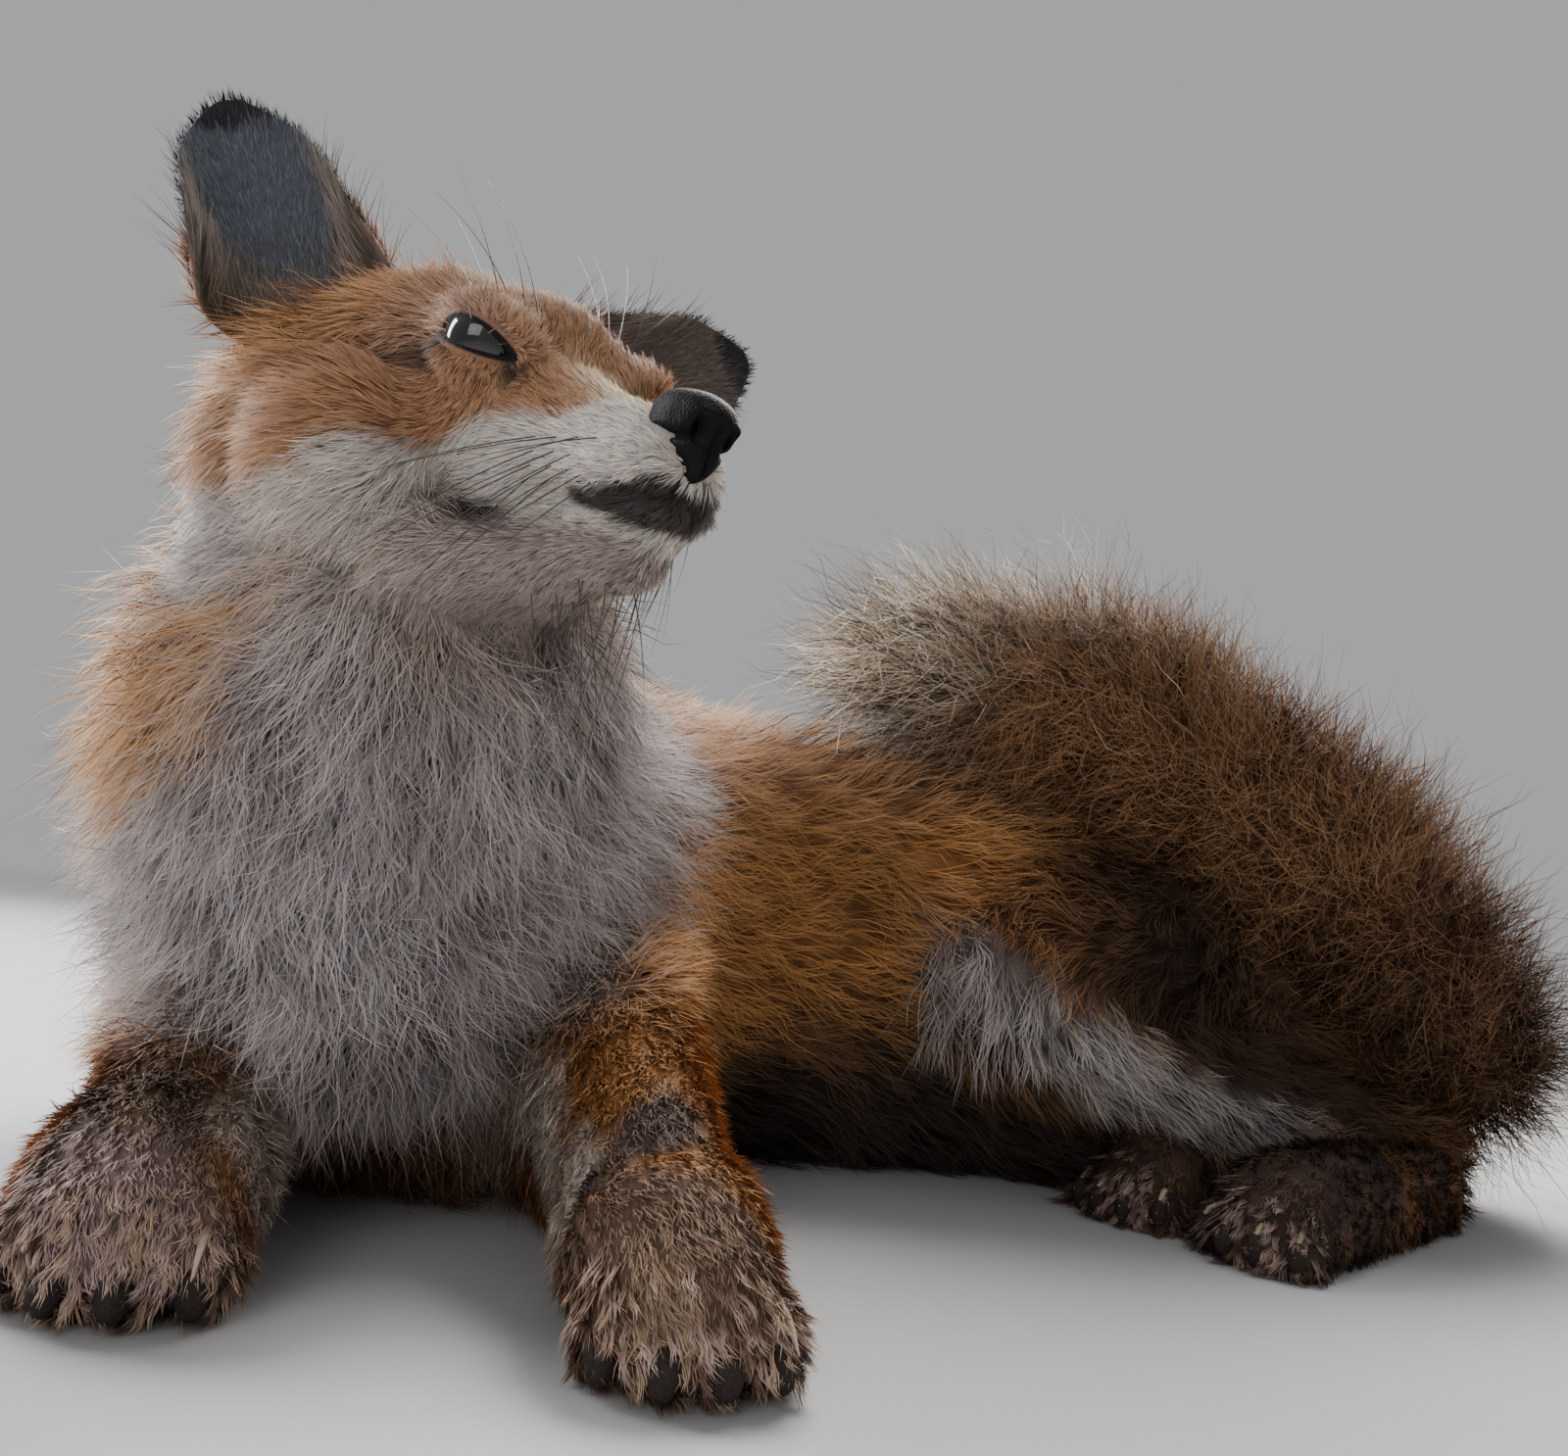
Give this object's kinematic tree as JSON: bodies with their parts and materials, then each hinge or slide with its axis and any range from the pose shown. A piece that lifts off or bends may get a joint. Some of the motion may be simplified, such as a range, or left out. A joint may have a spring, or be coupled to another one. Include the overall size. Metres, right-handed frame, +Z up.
{
  "type": "mounted red fox",
  "caption": "Life-size mounted red fox lying on its belly, head raised and turned, forelegs forward, hind feet out to one side and the brush curled over its hips.",
  "frame": {"origin": "centre of the footprint's bounding box, on the surface the fox lies on", "axes": "+X towards the hindquarters and the bend of the brush, along the longest extent; +Y towards the fox's back, away from its forepaws; +Z up"},
  "size_m": [0.6154, 0.473, 0.3167],
  "materials": {
    "coat": "soft russet fur",
    "coat_pale": "long greyish-white fur",
    "coat_dark": "short dark brown fur",
    "eye": "glossy dark amber-brown",
    "nose": "moist black, finely pebbled"
  },
  "bodies": {
    "root": {"head": "coat", "neck": "coat_pale", "trunk": "coat", "foreleg_left": "coat", "foreleg_right": "coat", "forepaw_left": "coat_dark", "forepaw_right": "coat_dark", "hindleg_left": "coat", "hindleg_right": "coat", "hindpaw_left": "coat_dark", "hindpaw_right": "coat_dark", "tail_base": "coat", "tail_middle": "coat", "tail_tip": "coat_pale", "ear_left": "coat_dark", "ear_right": "coat_dark", "eye_left": "eye", "eye_right": "eye", "nose": "nose"}
  },
  "joints": []
}
